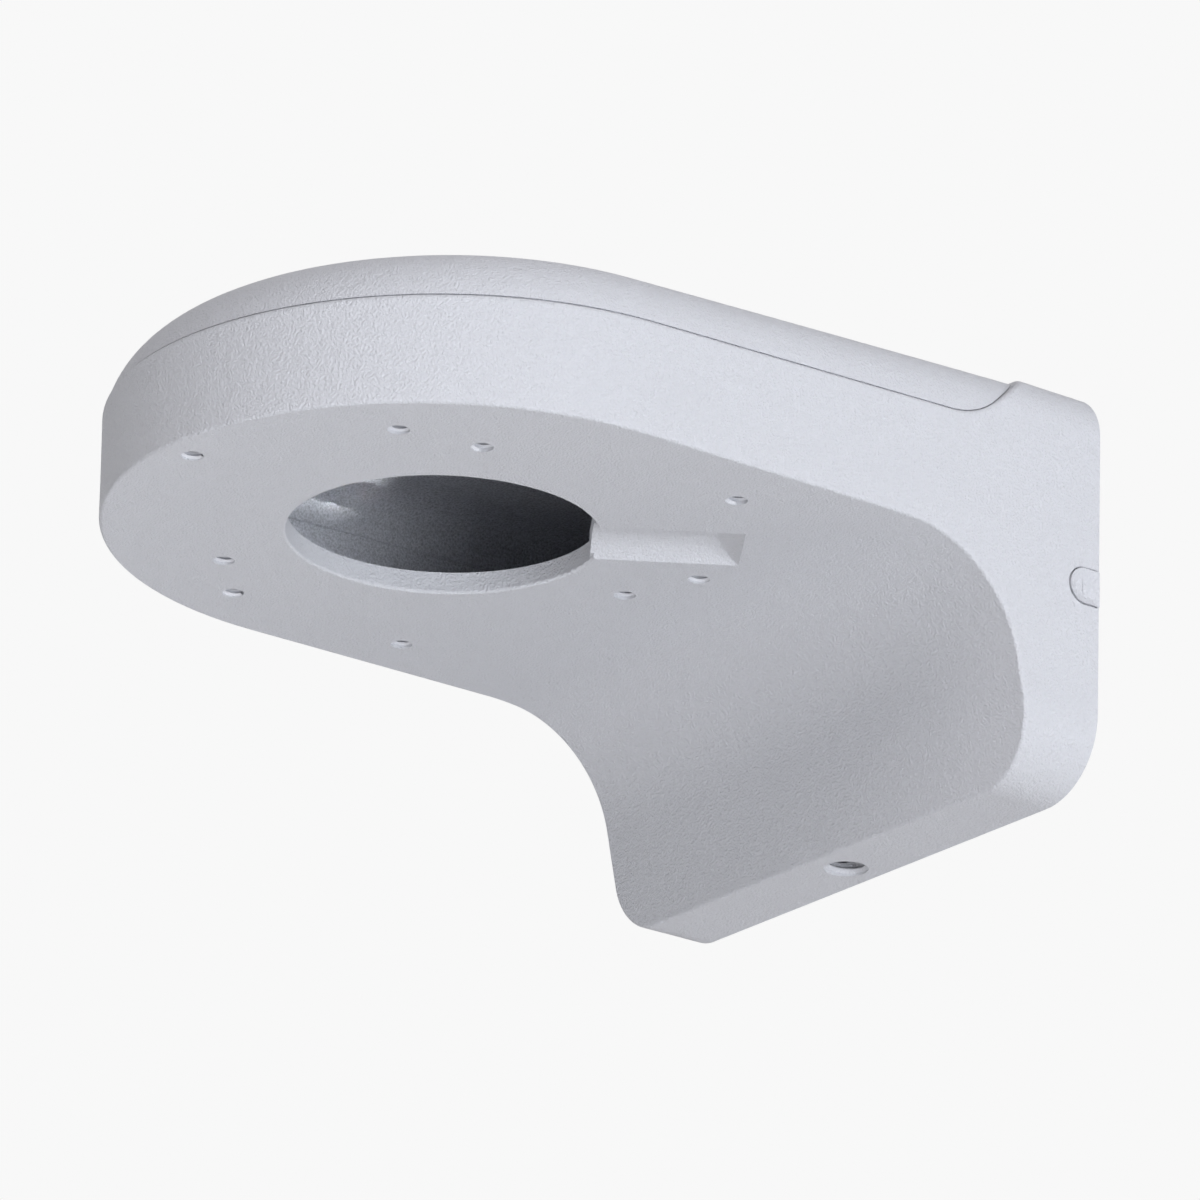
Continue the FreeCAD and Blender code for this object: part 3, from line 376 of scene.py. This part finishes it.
@dataclass
class TappedHoles:
    """The threads of the nine camera holes and of the side entry.

    Each circle of camera holes is a radius in millimetres and the direction of its first hole in degrees.
    """

    circles: tuple[tuple[float, float], ...] = ((55.0, -87.5), (48.9, -44.6), (42.0, -26.5))
    count: int = 3
    depth: float = 7.6 * MM
    mouth: float = 0.12 * MM
    phase_step: float = 1.3
    entry: Vector = field(default_factory=lambda: Vector((-1.9, -7.0, -40.7)) * MM)
    entry_depth: float = 2.5 * MM
    entry_steps: int = 48

    def build(self) -> None:
        """Make one ridge per hole."""
        turns = ThreadTurns(Thread.CAMERA, self.depth)
        for number, centre in enumerate(self._centres(), start=1):
            mesh = turns.ridge(centre, self.mouth, phase=number * self.phase_step)
            piece(f"camera_thread_{number}", mesh, THREAD_COAT)
        turns = ThreadTurns(Thread.SIDE_ENTRY, self.entry_depth, steps=self.entry_steps)
        mesh = turns.ridge(self.entry, self.entry.z + self.mouth / 2)
        piece("side_entry_thread", mesh, POWDER_COAT)

    def _centres(self) -> list[Vector]:
        """Find the camera holes on their circles.

        Returns:
            A point on each hole's axis, circle by circle.
        """
        centres = []
        for radius, first in self.circles:
            for step in range(self.count):
                angle = math.radians(first + 360 / self.count * step)
                x, y = radius * MM * math.cos(angle), radius * MM * math.sin(angle)
                centres.append(Vector((x, NOSE_CENTRE + y, 0)))
        return centres


@dataclass
class KnockOut:
    """The thin, dished web that closes the recess on the right flank, with a fine groove all round it.

    It is made lying on its back, with the wall in the direction of X, and then turned on to the flank.
    """

    centre: Vector = field(default_factory=lambda: Vector((59.3, -3.35, -3.35)) * MM)
    radius: float = 3.3 * MM
    straight: float = 3.3 * MM
    height: float = 1.72 * MM
    band: float = 1.6 * MM
    dip: float = 0.8 * MM
    rounding: float = 1.2 * MM
    segments: int = 64
    round_steps: int = 6
    level: float = 0.99

    def build(self) -> None:
        """Make the web, turn it on to the flank and dress it."""
        mesh = bmesh.new()
        self._lay_out(mesh)
        self._raise(mesh)
        self._dish(mesh)
        turn = Matrix(((0, 0, 1), (1, 0, 0), (0, 1, 0))).to_4x4()
        bmesh.ops.transform(mesh, verts=mesh.verts, matrix=Matrix.Translation(self.centre) @ turn)
        piece("knock_out_web", mesh, POWDER_COAT)

    def _lay_out(self, mesh: bmesh.types.BMesh) -> None:
        """Lay out half a disc with a straight end.

        Args:
            mesh: the empty bmesh.
        """
        bmesh.ops.create_circle(mesh, cap_ends=True, radius=self.radius, segments=self.segments)
        bmesh.ops.bisect_plane(mesh, geom=mesh.verts[:] + mesh.edges[:] + mesh.faces[:], plane_co=(0, 0, 0),
                               plane_no=(1, 0, 0), clear_outer=True)
        end = [edge for edge in mesh.edges if all(abs(vert.co.x) < SAME_PLACE for vert in edge.verts)]
        pulled = bmesh.ops.extrude_edge_only(mesh, edges=end)["geom"]
        bmesh.ops.translate(mesh, verts=self._verts(pulled), vec=(self.straight, 0, 0))

    def _raise(self, mesh: bmesh.types.BMesh) -> None:
        """Raise the outline to the web's height.

        Args:
            mesh: the flat outline.
        """
        raised = bmesh.ops.extrude_face_region(mesh, geom=mesh.faces[:])["geom"]
        bmesh.ops.translate(mesh, verts=self._verts(raised), vec=(0, 0, self.height))
        bmesh.ops.recalc_face_normals(mesh, faces=mesh.faces)

    def _dish(self, mesh: bmesh.types.BMesh) -> None:
        """Let the middle of the top down and round off the foot of its slope.

        Args:
            mesh: the raised web.
        """
        bmesh.ops.inset_region(mesh, faces=self._top(mesh), thickness=self.band, depth=-self.dip,
                               use_even_offset=True, use_boundary=True)
        floor = self._top(mesh)
        foot = [edge for edge in mesh.edges if sum(face in floor for face in edge.link_faces) == 1]
        bmesh.ops.bevel(mesh, geom=foot, offset=self.rounding, offset_type="OFFSET", segments=self.round_steps,
                        profile=0.5, affect="EDGES", clamp_overlap=True, material=-1)

    def _top(self, mesh: bmesh.types.BMesh) -> list[bmesh.types.BMFace]:
        """Return the level faces that look up."""
        return [face for face in mesh.faces if face.normal.z > self.level]

    @staticmethod
    def _verts(geometry: list) -> list[bmesh.types.BMVert]:
        """Return the vertices of an operator's mixed result."""
        return [item for item in geometry if isinstance(item, bmesh.types.BMVert)]


@dataclass(frozen=True)
class SoftBox:
    """One lamp, aimed at a point; spread narrows its beam like a grid, flat is its height by its width."""

    name: str
    place: Place
    size: float
    power: float
    color: Color
    aim: Place = (0.0, -0.0696, 0.0)
    spread: float = 180.0
    flat: float = 1.0

    def hang(self) -> None:
        """Put the lamp in the scene."""
        data = bpy.data.lights.new(self.name, "AREA")
        data.shape = "RECTANGLE"
        data.size, data.size_y = self.size, self.size * self.flat
        data.energy = self.power
        data.color = self.color
        data.spread = math.radians(self.spread)
        lamp = bpy.data.objects.new(self.name, data)
        spot, goal = Vector(self.place), Vector(self.aim)
        turn = (goal - spot).to_track_quat("-Z", "Y").to_matrix().to_4x4()
        lamp.matrix_world = Matrix.Translation(spot) @ turn
        bpy.context.scene.collection.objects.link(lamp)


LAMPS = (
    SoftBox("soft_side", (1.538, -0.070, -0.724), size=1.2, power=35.8, color=(0.955, 0.99, 1.04)),
    SoftBox("soft_front", (1.036, -0.933, 1.036), size=1.2, power=13.8, color=(1.0, 0.98, 1.0)),
    SoftBox("soft_wall_side", (0.3, 1.2, -0.5), size=1.0, power=5.6, color=(1.0, 0.95, 0.93)),
    SoftBox("soft_nose", (-0.1, -0.45, -0.45), size=0.4, power=1.1, color=(1.0, 0.99, 0.99)),
    SoftBox("beam_into_arm", (0.768, -0.0998, -0.470), size=0.034, power=0.0032, color=(0.96, 0.98, 1.0),
            aim=(0.0028, -0.0998, 0.0), spread=0.8, flat=0.33),
)


@dataclass
class Studio:
    """Floor, lights, background and the camera of the photograph."""

    azimuth: float = 53.80
    elevation: float = -21.23
    roll: float = 1.41
    distance: float = 1318.7 * MM
    focal_pixels: float = 7377.0
    image_width: float = 1200.0
    sensor: float = 36.0
    clip_near: float = 0.01
    clip_far: float = 100.0
    target: Vector = field(default_factory=lambda: Vector((0.0, -69.57, 0.0)) * MM)
    shift_right: float = 3.38 * MM
    shift_up: float = -4.24 * MM
    floor_level: float = -0.75
    floor_size: float = 12.0
    floor_roughness: float = 0.9
    background: Color = srgb(248, 248, 248)
    room: Color = srgb(235, 238, 246)
    room_strength: float = 0.12

    def build(self) -> None:
        """Set up everything round the bracket."""
        bpy.context.scene.view_settings.view_transform = "Standard"
        self._camera()
        self._world()
        self._floor()
        for lamp in LAMPS:
            lamp.hang()

    def _camera(self) -> None:
        """Place the camera where the photograph was taken."""
        a, e, roll = (math.radians(v) for v in (self.azimuth, self.elevation, self.roll))
        back = Vector((math.sin(a) * math.cos(e), -math.cos(a) * math.cos(e), math.sin(e)))
        level = Vector((math.cos(a), math.sin(a), 0.0))
        upright = back.cross(level)
        right = math.cos(roll) * level + math.sin(roll) * upright
        up = -math.sin(roll) * level + math.cos(roll) * upright
        data = bpy.data.cameras.new("camera")
        data.lens = self.focal_pixels / self.image_width * self.sensor
        data.sensor_width = self.sensor
        data.clip_start, data.clip_end = self.clip_near, self.clip_far
        camera = bpy.data.objects.new("camera", data)
        place = self.target + self.shift_right * right + self.shift_up * up + self.distance * back
        turn = Matrix((right, up, back)).transposed().to_4x4()
        camera.matrix_world = Matrix.Translation(place) @ turn
        bpy.context.scene.collection.objects.link(camera)
        bpy.context.scene.camera = camera

    def _world(self) -> None:
        """Light from all round, with the plain background for rays that only look at it."""
        world = bpy.data.worlds.new("studio")
        world.use_nodes = True
        bpy.context.scene.world = world
        tree = world.node_tree
        tree.nodes.clear()
        room, plain = tree.nodes.new("ShaderNodeBackground"), tree.nodes.new("ShaderNodeBackground")
        room.inputs["Color"].default_value = (*self.room, 1.0)
        room.inputs["Strength"].default_value = self.room_strength
        plain.inputs["Color"].default_value = (*self.background, 1.0)
        plain.inputs["Strength"].default_value = 1.0
        ray = tree.nodes.new("ShaderNodeLightPath").outputs
        mirrored = joined(tree, "MAXIMUM", ray["Is Glossy Ray"], ray["Is Transmission Ray"])
        mix = tree.nodes.new("ShaderNodeMixShader")
        out = tree.nodes.new("ShaderNodeOutputWorld")
        tree.links.new(joined(tree, "MAXIMUM", ray["Is Camera Ray"], mirrored), mix.inputs["Fac"])
        tree.links.new(room.outputs[0], mix.inputs[1])
        tree.links.new(plain.outputs[0], mix.inputs[2])
        tree.links.new(mix.outputs[0], out.inputs["Surface"])

    def _floor(self) -> None:
        """Lay a plain pale floor well below the bracket."""
        mesh = bmesh.new()
        bmesh.ops.create_grid(mesh, x_segments=1, y_segments=1, size=self.floor_size / 2)
        bmesh.ops.translate(mesh, verts=mesh.verts, vec=(0, 0, self.floor_level))
        data = bpy.data.meshes.new("floor")
        mesh.to_mesh(data)
        mesh.free()
        floor = bpy.data.objects.new("floor", data)
        bpy.context.scene.collection.objects.link(floor)
        material = bpy.data.materials.new("floor_paper")
        material.use_nodes = True
        shader = material.node_tree.nodes["Principled BSDF"]
        shader.inputs["Base Color"].default_value = (*self.background, 1.0)
        shader.inputs["Roughness"].default_value = self.floor_roughness
        data.materials.append(material)


def main() -> None:
    """Build the bracket's looks in order."""
    Castings().dress()
    TappedHoles().build()
    KnockOut().build()
    Studio().build()


if __name__ == "__main__":
    main()
